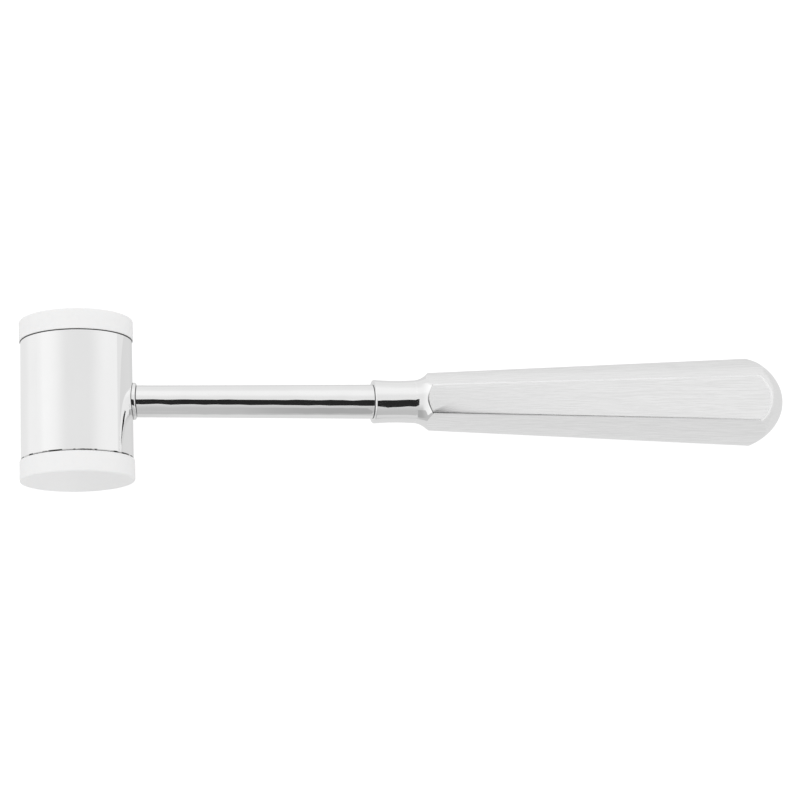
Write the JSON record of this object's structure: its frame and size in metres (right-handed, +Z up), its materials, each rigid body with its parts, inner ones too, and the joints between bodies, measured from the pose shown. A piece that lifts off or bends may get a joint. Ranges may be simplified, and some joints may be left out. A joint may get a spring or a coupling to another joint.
{
  "type": "surgical mallet",
  "caption": "Surgical mallet with a round polished steel head, screwed-in plastic strike faces, a slim round shaft and a hollow six-sided handle.",
  "frame": {"origin": "on the surface that the mallet lies on, at the centre of its box", "axes": "+X from the head to the handle's rounded end, +Y along the head to its rear strike face, +Z up as the mallet lies; the shaft dips 1.2 degrees towards the handle's end, which rests on the surface with both strike faces"},
  "size_m": [0.1792, 0.0368, 0.0256],
  "materials": {
    "polished_steel": "mirror-polished stainless steel",
    "satin_steel": "stainless steel, brushed lengthwise on the flats, polished on the neck",
    "white_plastic": "white engineering plastic, smooth turned"
  },
  "bodies": {
    "mallet": {"head_body": "polished_steel", "shaft": "polished_steel", "handle": "satin_steel"},
    "front_face": {"strike_face_front": "white_plastic"},
    "rear_face": {"strike_face_rear": "white_plastic"}
  },
  "joints": [
    {"name": "front_face_unscrew", "type": "slide", "parent": "mallet", "child": "front_face", "axis": [0, -1, 0], "range_m": [0, 0.014]},
    {"name": "rear_face_unscrew", "type": "slide", "parent": "mallet", "child": "rear_face", "axis": [0, 1, 0], "range_m": [0, 0.014]}
  ]
}
